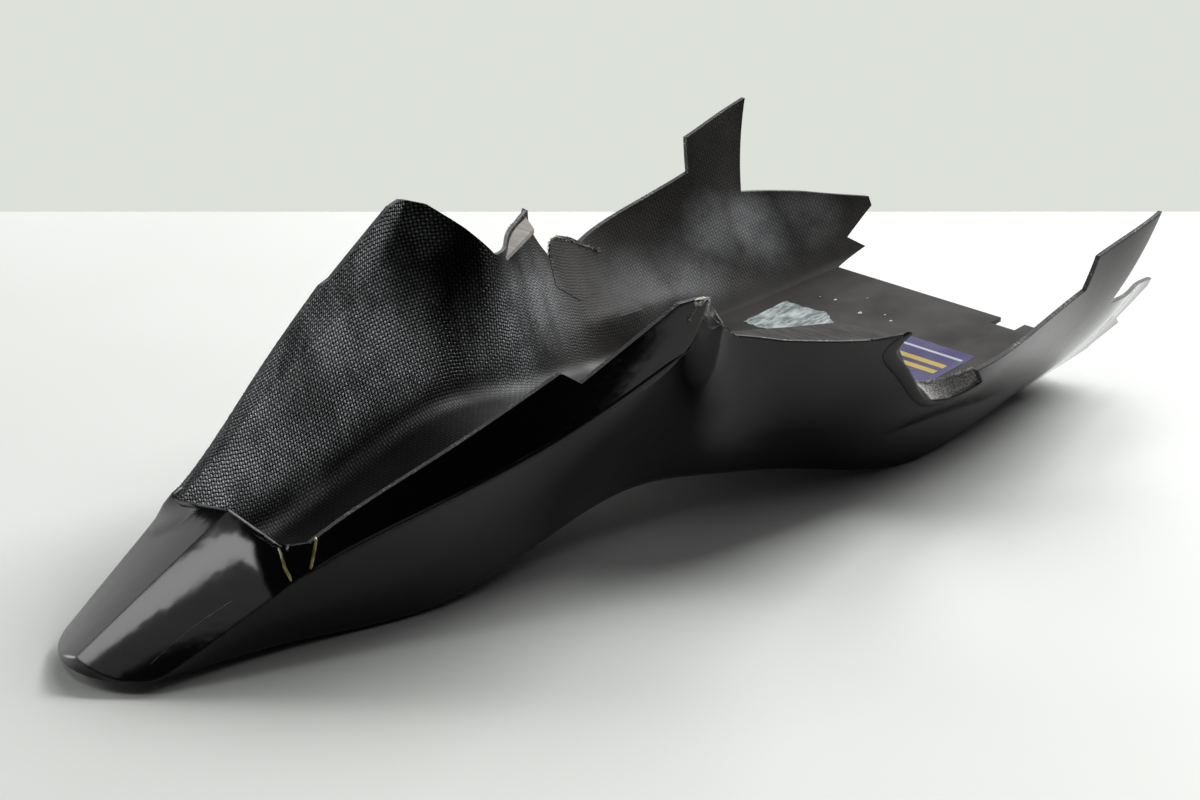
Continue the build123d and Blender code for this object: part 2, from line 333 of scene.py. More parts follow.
class Paint:
    """A node material, built a node at a time."""

    def __init__(self, name):
        self.material = bpy.data.materials.new(name)
        self.material.use_nodes = True
        self.tree = self.material.node_tree
        self.shader = self.tree.nodes["Principled BSDF"]

    def plug(self, value, socket):
        if isinstance(value, bpy.types.NodeSocket):
            self.tree.links.new(value, socket)
        else:
            socket.default_value = value

    def node(self, kind, out=0, settings=None, **inputs):
        made = self.tree.nodes.new(kind)
        for key, value in (settings or {}).items():
            setattr(made, key, value)
        for key, value in inputs.items():
            self.plug(value, made.inputs[key.replace("_", " ")])
        return made.outputs[out]

    def math(self, operation, a, b=0.0, clamp=False):
        made = self.tree.nodes.new("ShaderNodeMath")
        made.operation = operation
        made.use_clamp = clamp
        self.plug(a, made.inputs[0])
        self.plug(b, made.inputs[1])
        return made.outputs[0]

    def span(self, value, low, high, start=0.0, end=1.0):
        """value from low..high to start..end, smoothly and clamped."""
        made = self.tree.nodes.new("ShaderNodeMapRange")
        made.interpolation_type = "SMOOTHSTEP"
        for socket, number in zip(made.inputs, (value, low, high, start, end)):
            self.plug(number, socket)
        return made.outputs[0]

    def blend(self, share, a, b):
        made = self.tree.nodes.new("ShaderNodeMix")
        made.data_type = "RGBA"
        for socket, value in ((0, share), (6, a), (7, b)):
            self.plug(value, made.inputs[socket])
        return made.outputs[2]

    def vector_math(self, operation, *values):
        made = self.tree.nodes.new("ShaderNodeVectorMath")
        made.operation = operation
        for value, socket in zip(values, made.inputs):
            self.plug(value, socket)
        return made.outputs["Value" if operation == "DISTANCE" else "Vector"]

    def scaled(self, vector, scale):
        return self.vector_math("MULTIPLY", vector, scale)

    def split(self, vector):
        made = self.tree.nodes.new("ShaderNodeSeparateXYZ")
        self.plug(vector, made.inputs[0])
        return made.outputs

    def noise(self, vector, scale, detail=3.0, roughness=0.5):
        inputs = {"Vector": vector, "Scale": scale, "Detail": detail, "Roughness": roughness}
        return self.node("ShaderNodeTexNoise", **inputs)

    def stirred(self, vector, where, amount, scale, detail):
        """vector moved about by noise that is read at where."""
        noise = self.node("ShaderNodeTexNoise", 1, None, Vector=where, Scale=scale, Detail=detail)
        return self.vector_math("MULTIPLY_ADD", noise, amount, vector)

    def spot(self, where, place, reach, full, strength):
        """strength within a full share of the reach round a place, and nothing past the reach."""
        away = self.vector_math("DISTANCE", where, place)
        return self.span(away, reach * MM, full * reach * MM, 0.0, strength)

    def bump(self, height, distance, strength=1.0, normal=None):
        made = self.tree.nodes.new("ShaderNodeBump")
        made.inputs["Strength"].default_value = strength
        made.inputs["Distance"].default_value = distance
        self.plug(height, made.inputs["Height"])
        if normal is not None:
            self.plug(normal, made.inputs["Normal"])
        return made.outputs[0]

    def finish(self, **inputs):
        for key, value in inputs.items():
            self.plug(value, self.shader.inputs[key.replace("_", " ")])
        return self.material


def start_paint(name):
    """A new material, and the place on the surface that its patterns are read at."""
    p = Paint(name)
    return p, p.node("ShaderNodeNewGeometry")


def grey(level, warm=0.0):
    return (level * (1 + warm), level, level * (1 - warm), 1)


# Rounding of the outside's edges in its shading, in metres
EDGE_ROUND = 0.0022
# The roof rim's far corner is rubbed dull: middle, reach, full share and added roughness
RUBBED = ((102, 44, 53), 24, 0.5, 0.42)


def make_gelcoat():
    """Black moulded gelcoat, glossy with scuffs and dust."""
    p, where = start_paint("gelcoat")
    patches = p.noise(where, 14, 4)
    streaks = p.noise(p.scaled(where, (30, 160, 160)), 3, 5, 0.6)
    scuff = p.math("MULTIPLY", p.span(patches, 0.52, 0.72), p.span(streaks, 0.5, 0.75))
    dust = p.span(p.noise(where, 900, 2), 0.66, 0.78)
    haze = p.math("ADD", p.math("MULTIPLY", scuff, 0.8), p.math("MULTIPLY", dust, 0.25), True)
    color = p.blend(haze, grey(0.003), grey(0.016))
    rough = p.span(p.math("ADD", haze, p.math("MULTIPLY", patches, 0.2)), 0.0, 1.0, 0.08, 0.34)
    place, reach, full, dull = RUBBED
    rough = p.math("ADD", rough, p.spot(where, to_row(place), reach, full, dull))
    round_edge = p.node("ShaderNodeBevel", 0, {"samples": 4}, Radius=EDGE_ROUND)
    normal = p.bump(p.noise(where, 45, 2), 0.0006, 0.35, round_edge)
    return p.finish(Base_Color=color, Roughness=rough, Normal=normal)


# The weave's pitch and how far its threads stray in millimetres, and their height in metres
WEAVE_PITCH = 2.25
WEAVE_STRAY = 0.8
WEAVE_RELIEF = 0.00065
# Dust and painted sheen on the inside: middle, reach and strength. The pocket's places are dust that also
# paints its lit far wall lighter; those on the panel, from x 575 on, are a painted sheen.
DUST_AND_SHEEN = [
    ((305, 113, 108), 75, 1.0),
    ((356, 124, 140), 34, 0.9),
    ((210, 87, 65), 60, 0.9),
    ((168, 74, 49), 40, 1.0),
    ((299, 94, 66), 36, 0.9),
    ((418, 100, 70), 60, 0.6),
    ((470, 128, 60), 50, 0.45),
    ((575, 144, 32), 46, 0.25),
    ((625, 139, 39), 46, 0.35),
    ((660, 147, 56), 36, 0.4),
    ((694, 142, 52), 34, 0.55),
    ((740, 134, 54), 36, 0.35),
]
# The share of a place of dust and painted sheen that is full, and how far noise moves its edge, in metres
DUST_AND_SHEEN_FULL = 0.15
DUST_AND_SHEEN_STIR = 0.05
# The pocket's far wall is painted pale all over, as dust and as painted light on its lit upper part, from
# a height up the wall and along the cowl
FAR_WALL_DUST_AND_LIGHT_UP = (8, 32)
FAR_WALL_DUST_AND_LIGHT_ENDS = (372, 315)
# Where the pocket's coarse weave gives way to the smoother seat, along the cowl
WEAVE_ENDS = (430, 540)


def dust_and_sheen_mask(p, where):
    """Spots of dust and painted sheen, with uneven edges."""
    stirred = p.stirred(where, where, (DUST_AND_SHEEN_STIR, DUST_AND_SHEEN_STIR, DUST_AND_SHEEN_STIR), 15.0, 4.0)
    mask = None
    for place, reach, strength in DUST_AND_SHEEN:
        spot = p.spot(stirred, to_row(place) + DUST_AND_SHEEN_STIR / 2, reach, DUST_AND_SHEEN_FULL, strength)
        mask = spot if mask is None else p.math("MAXIMUM", mask, spot)
    return mask


def make_cloth():
    """Woven glass wetted out with black resin: glossy threads, dusty where it has lain open, with painted
    sheen on the panel and painted light on the far wall.
    """
    p, where = start_paint("cloth")
    lay = p.node("ShaderNodeAttribute", 1, {"attribute_name": "lay"})
    bent = p.stirred(lay, where, (WEAVE_STRAY, WEAVE_STRAY, 0), 16.0, 2.0)
    turn = math.pi / WEAVE_PITCH
    across, along, _ = p.split(p.scaled(bent, (turn, turn, 0)))
    cross = p.math("MULTIPLY", p.math("SINE", across), p.math("SINE", along))
    height = p.math("POWER", p.math("ABSOLUTE", cross), 0.6)
    over = p.span(cross, -0.15, 0.15)
    threads = p.math("MULTIPLY", height, p.math("ADD", p.math("MULTIPLY", over, 0.35), 0.65))
    x, sideways, up = p.split(lay)
    coarse = p.span(x, *WEAVE_ENDS, 1.0, 0.25)
    seat = p.span(x, *WEAVE_ENDS)
    on_wall = p.span(up, 0, 25)
    # The far wall's pale wash: dust, and painted light on its lit upper part
    far_wall = p.math("MULTIPLY", p.span(sideways, 0, 20), p.span(up, *FAR_WALL_DUST_AND_LIGHT_UP))
    haze = p.math("MULTIPLY", far_wall, p.span(x, *FAR_WALL_DUST_AND_LIGHT_ENDS))
    cloud = p.span(p.noise(where, 26, 5, 0.62), 0.34, 0.62, 0.35, 1.0)
    smooth_catch = p.math("MULTIPLY", seat, 0.5)
    caught = p.math("ADD", p.math("MULTIPLY", p.span(threads, 0.2, 0.8), coarse), smooth_catch)
    # Dust, with painted sheen on the panel and painted light on the far wall
    dust = p.math("MAXIMUM", dust_and_sheen_mask(p, where), haze)
    dust_and_sheen_cover = p.math("MULTIPLY", p.math("MULTIPLY", dust, cloud), caught, True)
    weave = p.blend(p.span(threads, 0.1, 0.9), grey(0.002), grey(0.008, -0.02))
    pooled = p.span(p.noise(where, 34, 4), 0.3, 0.7)
    resin_rich = p.blend(pooled, grey(0.024, 0.06), grey(0.042, 0.08))
    color = p.blend(seat, weave, resin_rich)
    # Pale where dust lies and where sheen and light are painted
    color = p.blend(dust_and_sheen_cover, color, grey(0.68, -0.03))
    sheen = p.span(p.noise(where, 22, 3), 0.3, 0.7, 0.2, 0.36)
    dull = p.math("MAXIMUM", p.span(on_wall, 1, 0, 0, 0.25), p.math("MULTIPLY", seat, 0.3))
    rough = p.math("ADD", sheen, dull, True)
    relief = p.math("MULTIPLY", p.math("MULTIPLY", threads, coarse), p.span(on_wall, 0, 1, 0.3, 1.0))
    normal = p.bump(relief, WEAVE_RELIEF, 0.8)
    return p.finish(Base_Color=color, Roughness=rough, Specular_IOR_Level=0.1, Normal=normal)


def make_raw_edge():
    """Sawn laminate: dull grey with pale broken fibres, made lighter than that to paint the highlight
    along its sawn top edges.
    """
    p, where = start_paint("raw_edge")
    fibres = p.noise(p.scaled(where, (1, 1, 1.6)), 700, 4, 0.7)
    patches = p.noise(where, 60, 3)
    # Pale fibres, lightened to also paint the highlight along the sawn edges
    pale = p.math("MULTIPLY", p.span(fibres, 0.52, 0.66), p.span(patches, 0.42, 0.62))
    color = p.blend(pale, grey(0.045, -0.06), grey(0.42, 0.06))
    normal = p.bump(fibres, 0.0006, 0.8)
    return p.finish(Base_Color=color, Roughness=0.65, Normal=normal)


def make_shelf_top(name, dark, light):
    """Bare brushed resin, brown-grey and dull."""
    p, where = start_paint(name)
    brushed = p.noise(p.scaled(where, (1, 0.2, 1)), 260, 4, 0.6)
    color = p.blend(p.span(brushed, 0.35, 0.65), grey(dark, 0.05), grey(light, 0.07))
    normal = p.bump(brushed, 0.0004, 0.5)
    return p.finish(Base_Color=color, Roughness=0.85, Specular_IOR_Level=0.1, Normal=normal)


def make_mat_edge():
    """Torn glass mat: rough speckled grey."""
    p, where = start_paint("mat_edge")
    grains = p.noise(where, 900, 3, 0.7)
    color = p.blend(p.span(grains, 0.42, 0.62), grey(0.14), grey(0.50, 0.04))
    return p.finish(Base_Color=color, Roughness=0.8, Normal=p.bump(grains, 0.0009, 0.9))


def make_resin(name, thin, rich):
    """Clear yellow resin that has run into the seams."""
    p, where = start_paint(name)
    thick = p.span(p.noise(where, 120, 2), 0.35, 0.65)
    color = p.blend(thick, thin, rich)
    return p.finish(Base_Color=color, Roughness=0.2)


def make_fibre():
    """Broken glass threads and chipped resin: cream white."""
    p, where = start_paint("fibre")
    tone = p.span(p.noise(where, 420, 3, 0.6), 0.35, 0.65)
    color = p.blend(tone, (0.22, 0.21, 0.19, 1), (0.74, 0.73, 0.68, 1))
    return p.finish(Base_Color=color, Roughness=0.7, Normal=p.bump(tone, 0.0005, 0.6))


def make_patch():
    """A worn pale patch: bluish white, scraped through to the dark laminate."""
    p, where = start_paint("patch")
    scrapes = p.noise(p.scaled(where, (60, 260, 60)), 1.6, 5, 0.65)
    blotches = p.noise(where, 90, 4, 0.6)
    marks = p.math("ADD", p.math("MULTIPLY", scrapes, 0.6), p.math("MULTIPLY", blotches, 0.5))
    worn = p.span(marks, 0.42, 0.66)
    color = p.blend(worn, (0.50, 0.58, 0.58, 1), (0.10, 0.12, 0.12, 1))
    return p.finish(Base_Color=color, Roughness=0.55, Normal=p.bump(scrapes, 0.0003, 0.6))


def make_label(name, tone, worn_tone):
    """Printed vinyl, rubbed in places."""
    p, where = start_paint(name)
    rubbed = p.span(p.noise(where, 160, 5, 0.65), 0.60, 0.75)
    color = p.blend(rubbed, tone, worn_tone)
    rough = p.span(p.noise(where, 50, 2), 0.3, 0.7, 0.45, 0.6)
    return p.finish(Base_Color=color, Roughness=rough, Specular_IOR_Level=0.15)


gelcoat = make_gelcoat()
cloth = make_cloth()
raw_edge = make_raw_edge()
# The far shelf is drawn much lighter than the near one
shelf_top = {
    "near": make_shelf_top("shelf_top", 0.050, 0.080),
    "far": make_shelf_top("pale_shelf_top", 0.26, 0.36),
}
mat_edge = make_mat_edge()
resin = make_resin("resin", (0.28, 0.23, 0.04, 1), (0.72, 0.63, 0.24, 1))
old_resin = make_resin("old_resin", (0.05, 0.04, 0.02, 1), (0.16, 0.13, 0.07, 1))
fibre = make_fibre()
patch_paint = make_patch()
label_field = make_label("label_field", (0.048, 0.040, 0.145, 1), (0.18, 0.17, 0.26, 1))
label_bar = make_label("label_bar", (0.52, 0.38, 0.05, 1), (0.30, 0.24, 0.12, 1))
label_line = make_label("label_line", (0.50, 0.51, 0.60, 1), (0.30, 0.30, 0.42, 1))


# Cutters, the same as the mould's parting faces

RIM_EDGE = (61.6, 45.5)
EDGES = [
    (RIM_X - 5, 60.7, 43.9, -0.744),
    (RIM_X, *RIM_EDGE, -0.72),
    (HUMP_X, 88.2, 73.0, -0.32),
    (BACKREST_X, 109.0, 98.0, -0.13),
    (PEAK_X - 11, 124.8, 128.0, -0.05),
    (WAIST_X + 28.5, 147.2, 170.6, 0.06),
]
BAND_STATIONS = 121
BAND_BELOW = 26
BAND_ABOVE = 60
WAY = {"near": -1, "far": 1}


def band_cutter(depth, way, skin):
    """What is outside the leaning band that runs up one side from the rim to the peak."""
    edges = np.array(EDGES)
    stations = []
    roof = BODY_TOP + PAST
    for x in np.linspace(edges[0, 0], edges[-1, 0], BAND_STATIONS):
        half, z, lean = cubic(edges[:, 0], edges[:, 1:], np.array([x]))[0]
        low = (half - depth - lean * BAND_BELOW, z - BAND_BELOW)
        high = (half - depth + lean * BAND_ABOVE, z + BAND_ABOVE)
        polygon = [low, (OUTSIDE, low[1]), (OUTSIDE, roof), (high[0], roof), high]
        stations.append((x, [(way * y, z) for y, z in polygon]))
    return ruled_block(stations, skin)


RIDGE_TIP_Z = 13.5
RIDGE_RIM_Z = 66.0
VALLEY = (40.0, 58.5)
EAR = (54.5, 60.0)
EAR_BLEND = 19.0
NOSE_EDGE = (43.9, 8.0)
NOSE_POINTS = 33
ROOF_CROWN = 1.6
ROOF_REACH = 106.0
ROOF_STEPS = 12
# The roof's points across, as shares of its half-width
ROOF_SHARES = np.array([0, 0.12, 0.25, 0.38, 0.5, VALLEY[0] / RIM_EDGE[0], 0.77, EAR[0] / RIM_EDGE[0], 1])


def rim_height(y):
    """Height of the roof's rim over the pocket, with its swept-up corners."""
    rim_y, rim_z = zip((0, RIDGE_RIM_Z), VALLEY, EAR, RIM_EDGE)
    return np.interp(np.abs(y), rim_y, rim_z)


def roof_line(x):
    """Half of the roof's plain section at x, from the ridge outwards."""
    slope = (RIDGE_RIM_Z - RIDGE_TIP_Z) / RIM_X
    share = (x - NOSE_X) / (RIM_X - NOSE_X)
    half = NOSE_EDGE[0] + share * (RIM_EDGE[0] - NOSE_EDGE[0])
    edge_z = NOSE_EDGE[1] + share * (RIM_EDGE[1] - NOSE_EDGE[1])
    ridge_z = RIDGE_TIP_Z + slope * x
    fall = (edge_z - ridge_z) / half
    crown = ROOF_CROWN * 4 * ROOF_SHARES * (1 - ROOF_SHARES)
    line = np.column_stack([ROOF_SHARES * half, ridge_z + fall * ROOF_SHARES * half + crown])
    return np.vstack([line, (ROOF_REACH, ridge_z + fall * ROOF_REACH)])


def roof_cutter(depth, skin):
    """What is above the undertail roof, whose corners sweep up towards the rim."""
    rim_y = ROOF_SHARES * RIM_EDGE[0]
    rim_line = np.vstack([np.column_stack([rim_y, rim_height(rim_y)]), (ROOF_REACH, 0)])
    rise = rim_line - roof_line(RIM_X)
    ends = (-NOSE_X, NOSE_X, RIM_X - EAR_BLEND, RIM_X)
    stations = []
    for x0, x1 in zip(ends, ends[1:]):
        line0, line1 = roof_line(x0), roof_line(x1)
        for share in np.linspace(0, 1, ROOF_STEPS, endpoint=x1 == RIM_X):
            lift = share**2 * rise if x1 == RIM_X else 0
            line = line0 + share * (line1 - line0) + lift - [0, depth]
            right = [*line, (ROOF_REACH, BODY_TOP + PAST)]
            x = x0 + share * (x1 - x0)
            stations.append((x, [(-y, z) for y, z in reversed(right[1:])] + right))
    return ruled_block(stations, skin)


def nose_keep(depth, skin):
    """What is behind the rounded nose."""
    half = NOSE_EDGE[0] - depth
    sagitta = NOSE_X - depth
    radius = (half**2 + sagitta**2) / (2 * sagitta)
    reach = math.asin(min(1, half / radius))
    arc = []
    for angle in np.linspace(-reach, reach, NOSE_POINTS):
        arc.append((depth + radius * (1 - math.cos(angle)), radius * math.sin(angle)))
    front = TIP_X + PAST
    outline = arc + [(NOSE_X, OUTSIDE), (front, OUTSIDE), (front, -OUTSIDE), (NOSE_X, -OUTSIDE)]
    return prism(outline, "xy", -PAST, BODY_TOP + PAST, skin)


def pan_cutter(depth, skin):
    """What is under the flat seat pan."""
    front = TIP_X + PAST
    outline = [(SEAT_X, depth), (front, pan_z(front) + depth), (front, -PAST), (SEAT_X, -PAST)]
    return prism(outline, "xz", -OUTSIDE, OUTSIDE, skin)


def plug(depth, skin):
    """The mould's solid form, drawn in by depth."""
    form = body(depth, skin)
    combine(form, nose_keep(depth, skin), "INTERSECT")
    combine(form, pan_cutter(depth, skin), "DIFFERENCE")
    for way in WAY.values():
        combine(form, band_cutter(depth, way, skin), "DIFFERENCE")
    combine(form, roof_cutter(depth, skin), "DIFFERENCE")
    return form


# The sawn outline from the side; the notch's border runs down from the horn's tip
NOTCH_EDGE = [
    (HORN_X, 109.5),
    (HORN_X - 5, 100.5),
    (HORN_X + 3, 87.5),
    (HORN_X + 17, 70),
    (SEAT_X - 14, 55),
    (SEAT_X, 53),
    (SEAT_X + 21, 60),
]
TRIM_RIM_Z = 60.0
TRIM_TOP = 126
RIM_FLAT = 10.0
TRIM = [
    (-PAST, -PAST),
    (PAN_FRONT_X, -PAST),
    (PAN_FRONT_X, pan_z(PAN_FRONT_X) + WALL),
    (TIP_X - 17, 29),
    (TIP_X - 29, 37),
    (TIP_X, 53),
    (TIP_X, 59),
    ((FORK_X + TIP_X) / 2, 69),
    (FORK_X, 76),
    (PRONG_X, 135),
    (SHOULDER_X + 2, 120),
    (SHOULDER_X - 2, 97.5),
    (SEAT_X + 7, 73),
    *reversed(NOTCH_EDGE),
    (HORN_X - 19, 108),
    (WAIST_X + 25, 110),
    (WAIST_X, 115.5),
    (WAIST_X - 22, 137.5),
    (PEAK_X + 16, 154),
    (PEAK_X, 159),
    (PEAK_X - 12, 158),
    (BACKREST_X + 5, 132),
    (BACKREST_X - 6, 131),
    (RIM_X + RIM_FLAT, TRIM_RIM_Z),
    (RIM_X, TRIM_RIM_Z),
    (RIM_X, TRIM_TOP),
    (-PAST, TRIM_TOP),
]
NEAR_STEP = [(BACKREST_X - 6, 131), (BACKREST_X + 5, 123), (PEAK_X - 12, 158), (BACKREST_X - 6, 219)]
PAN_NOTCH = rectangle(PAN_FRONT_X - 11, -58, 22, 20)

shell = plug(0, gelcoat)
combine(shell, plug(WALL, cloth), "DIFFERENCE")
combine(shell, prism(TRIM, "xz", -OUTSIDE, OUTSIDE, raw_edge), "INTERSECT")
combine(shell, prism(NEAR_STEP, "xz", -OUTSIDE, 0, raw_edge), "DIFFERENCE")
combine(shell, prism(PAN_NOTCH, "xy", -PAST, PAST, raw_edge), "DIFFERENCE")
shell.name = "cowl_shell"


def gloss_rim(obj, end):
    """The roof's edge was moulded, not sawn, so it is glossy like the outside."""
    slots = list(obj.data.materials)
    sawn, glossy = slots.index(raw_edge), slots.index(gelcoat)
    for face in obj.data.polygons:
        if face.material_index == sawn and face.center.x < end:
            face.material_index = glossy


gloss_rim(shell, RIM_X + RIM_FLAT)

# Flat shelves between waist and horn, and the lip that stands in the far notch

SHELF_TOP = 106.5
SHELF_INSIDE = {
    "near": [(WAIST_X, -76), (426, -80), (441, -90), (456, -100), (480, -114), (HORN_X - WALL, -136)],
    "far": [(WAIST_X, 100), (440, 118.5), (475, 137.4), (HORN_X - WALL, 160)],
}
LIP = [
    (SEAT_X - 41, 60),
    (SEAT_X - 37, 76),
    (SEAT_X - 31, 82),
    (SEAT_X - 24, 84),
    (SEAT_X - 14, 82.5),
    (SEAT_X - 2, 78),
    (SEAT_X + 8, 72),
    (SEAT_X + 27, 59),
    (SEAT_X, 45),
    (SEAT_X - 20, 45),
]
LIP_TOP = LIP[:8]
LIP_PROUD = 0.3
LIP_SUNK = 1.0


def shelf(side):
    """A flat shelf that runs into the side panel."""
    out = WAY[side] * OUTSIDE
    outline = SHELF_INSIDE[side] + [(HORN_X - WALL, out), (WAIST_X, out)]
    plate = prism(outline, "xy", SHELF_TOP - WALL, SHELF_TOP, shelf_top[side])
    combine(plate, body(WALL / 2, gelcoat), "INTERSECT")
    plate.name = "shelf_" + side
    return plate


def far_lip():
    """The upright lip inside the far notch."""
    made = body(WALL - LIP_SUNK, raw_edge)
    combine(made, body(WALL + LIP_PROUD, cloth), "DIFFERENCE")
    combine(made, prism(LIP, "xz", 0, OUTSIDE, cloth), "INTERSECT")
    made.name = "lip_far"
    return made


def drop_slivers(obj):
    """Keeps the largest of a piece's separate parts."""
    bm = bmesh.new()
    bm.from_mesh(obj.data)
    left = set(bm.verts)
    parts = []
    while left:
        part = {left.pop()}
        edge = list(part)
        while edge:
            v = edge.pop()
            for e in v.link_edges:
                other = e.other_vert(v)
                if other in left:
                    left.discard(other)
                    part.add(other)
                    edge.append(other)
        parts.append(part)
    keep = max(parts, key=len)
    bmesh.ops.delete(bm, geom=[v for v in bm.verts if v not in keep], context="VERTS")
    bm.to_mesh(obj.data)
    bm.free()


extras = [shelf("near"), shelf("far"), far_lip()]
lip_far = extras[-1]
for piece in extras:
    drop_slivers(piece)


# Rolled rims, seams and worn places

random = np.random.default_rng(11)


def smooth_line(points, count):
    """count points on a curve through the given ones."""
    points = np.array(points, float)
    runs = np.linalg.norm(np.diff(points, axis=0), axis=1)
    at = np.concatenate([[0], np.cumsum(runs)])
    return cubic(at, points, np.linspace(0, at[-1], count))


# A bead's girth at its ends, as a share of its radius, and how fast it grows to the full girth
BEAD_END_GIRTH = 0.35
BEAD_GROWTH = 9
BEAD_POINTS = 90


def tube(name, path, radius, material, sides=12):
    """A round bead along a line of points, thinner towards its ends."""
    path = np.array(path, float)
    ahead = np.gradient(path, axis=0)
    points = []
    for i, (centre, along) in enumerate(zip(path, ahead)):
        side = unit(np.cross(along, (0, 0, 1)))
        up = unit(np.cross(side, along))
        share = i / (len(path) - 1)
        girth = radius * min(1, BEAD_END_GIRTH + BEAD_GROWTH * min(share, 1 - share))
        for angle in np.arange(sides) * 2 * math.pi / sides:
            points.append(centre + girth * (side * math.cos(angle) + up * math.sin(angle)))
    faces = ring_caps(len(points), sides) + ring_sides(len(path), sides)
    return mesh_object(name, points, faces, [material])


def slab(name, top, bottom, material):
    """A closed sheet between two grids of points of the same size."""
    rows, columns = top.shape[:2]
    half = rows * columns
    points = np.concatenate([top.reshape(-1, 3), bottom.reshape(-1, 3)])
    faces = []
    for i in range(rows - 1):
        for j in range(columns - 1):
            a, b = i * columns + j, (i + 1) * columns + j
            faces.append((a, a + 1, b + 1, b))
            faces.append((half + a, half + b, half + b + 1, half + a + 1))
    rim = list(range(columns))
    rim += [i * columns + columns - 1 for i in range(1, rows)]
    rim += [(rows - 1) * columns + j for j in range(columns - 2, -1, -1)]
    rim += [i * columns for i in range(rows - 2, 0, -1)]
    for a, b in zip(rim, rim[1:] + rim[:1]):
        faces.append((a, b, half + b, half + a))
    return mesh_object(name, points, faces, [material])


def skin_at(x, z):
    """Half-width of the outer skin at x and height z, above the keel."""
    values = rib_at([x])[0]
    line = section(values, 0)
    wall = line[line[:, 1] > values[2] + KEEL_RADIUS + 1]
    return np.interp(z, wall[:, 1], wall[:, 0])


RIM_BEAD = 1.7
RIM_BEAD_SUNK = 0.8
RIM_BEAD_DROP = 0.2
BEAD_START = RIM_X + 6
BEAD_END = PEAK_X - 4


def rim_bead(side):
    """The rounded rim where the band meets the side."""
    edges = np.array(EDGES)
    xs = np.linspace(BEAD_START, BEAD_END, BEAD_POINTS)
    half, z, _ = cubic(edges[:, 0], edges[:, 1:], xs).T
    path = np.column_stack([xs, WAY[side] * (half - RIM_BEAD_SUNK), z - RIM_BEAD_DROP])
    return tube("rim_bead_" + side, path, RIM_BEAD, gelcoat)


ROOF_RIM_RADIUS = 1.7
ROOF_RIM_SUNK = 1.2
ROOF_RIM_HALF = 46.0


def roof_rim():
    """The rounded edge where the roof ends over the pocket."""
    y = np.linspace(-1, 1, BEAD_POINTS) * ROOF_RIM_HALF
    z = np.minimum(rim_height(y), TRIM_RIM_Z)
    path = np.column_stack([np.full(len(y), RIM_X - ROOF_RIM_SUNK), y, z - ROOF_RIM_SUNK])
    return tube("roof_rim", path, ROOF_RIM_RADIUS, gelcoat)


# The notch's roll widens from its start, fades to its end and rises along part of an arch
ROLL_WIDTH = 9.0
ROLL_START = 0.3
ROLL_GROWTH = 6
ROLL_FADE = 0.6
ROLL_RISE = 0.9
ROLL_ARCH = (0.12, 1.0)
ROLL_FULL = 0.8
ROLL_SUNK = 1.0
ROLL_POINTS = 60
ROLL_ACROSS = 9


def notch_roll(side):
    """The rolled border round a notch in the side panel."""
    path = smooth_line(NOTCH_EDGE, ROLL_POINTS)
    ahead = np.gradient(path, axis=0)
    rows = []
    for share, (x, z), (dx, dz) in zip(np.linspace(0, 1, len(path)), path, ahead):
        away = unit(np.array([dz, -dx]))
        width = ROLL_WIDTH * min(1, ROLL_START + ROLL_GROWTH * share) * (1 - ROLL_FADE * share)
        row = []
        for across in np.linspace(0, 1, ROLL_ACROSS):
            px, pz = np.array([x, z]) + away * width * across
            arch = math.sin(math.pi * np.interp(across, (0, 1), ROLL_ARCH))
            rise = ROLL_RISE * arch**ROLL_FULL
            row.append((px, skin_at(px, pz), pz, rise))
        rows.append(row)
    x, out, z, rise = np.moveaxis(np.array(rows), -1, 0)
    top = np.stack([x, WAY[side] * (out + rise), z], -1)
    bottom = np.stack([x, WAY[side] * (out - ROLL_SUNK), z], -1)
    return slab("notch_roll_" + side, top, bottom, gelcoat)


SILL_WIDTH = 13.0
SILL_ENDS = 0.75
SILL_THICK = 2.5
SILL_LEAN = 0.15
SILL_SUNK = 0.6
SILL_RAISED = 0.2
SILL_POINTS = 40
SILL_ACROSS = 12
FLARE_STEP = 2


def sill():
    """The broken edge of the near notch, bent inwards as a rough sill."""
    path = smooth_line(NOTCH_EDGE[3:], SILL_POINTS)
    ahead = np.gradient(path, axis=0)
    top, bottom = [], []
    for share, (x, z), (dx, dz) in zip(np.linspace(0, 1, len(path)), path, ahead):
        flare = (skin_at(x, z + FLARE_STEP) - skin_at(x, z - FLARE_STEP)) / (2 * FLARE_STEP)
        inward = unit(np.array([SILL_LEAN, 1, flare]))
        along = unit(np.array([dx, 0, dz]))
        face = unit(np.cross(along, inward))
        face = face * np.sign(face[2])
        width = SILL_WIDTH * (SILL_ENDS + (1 - SILL_ENDS) * math.sin(math.pi * share))
        start = np.array([x, -skin_at(x, z) + SILL_SUNK, z + SILL_RAISED])
        row = [start + inward * width * across for across in np.linspace(0, 1, SILL_ACROSS)]
        top.append(row)
        bottom.append([p - face * SILL_THICK for p in row])
    return slab("notch_sill", np.array(top), np.array(bottom), mat_edge), [row[-1] for row in top]


BEAK_RADIUS = 1.3
BEAK_SUNK = 1.2
BEAK_DROP = 0.5
BEAK_LINE = [(HORN_X - 24, 108.2), (HORN_X - 19, 108), (HORN_X, 109.5)]
BEAK_POINTS = 24


def beak_edge(side):
    """The rounded top edge of the beak in front of the shelf, in the pale sawn-edge paint as a painted
    highlight along its top.
    """
    line_x, line_z = zip(*BEAK_LINE)
    path = []
    for x in np.linspace(line_x[0], line_x[-1] - 1, BEAK_POINTS):
        z = np.interp(x, line_x, line_z)
        path.append((x, WAY[side] * (skin_at(x, z) - BEAK_SUNK), z - BEAK_DROP))
    return tube("beak_edge_" + side, path, BEAK_RADIUS, raw_edge)


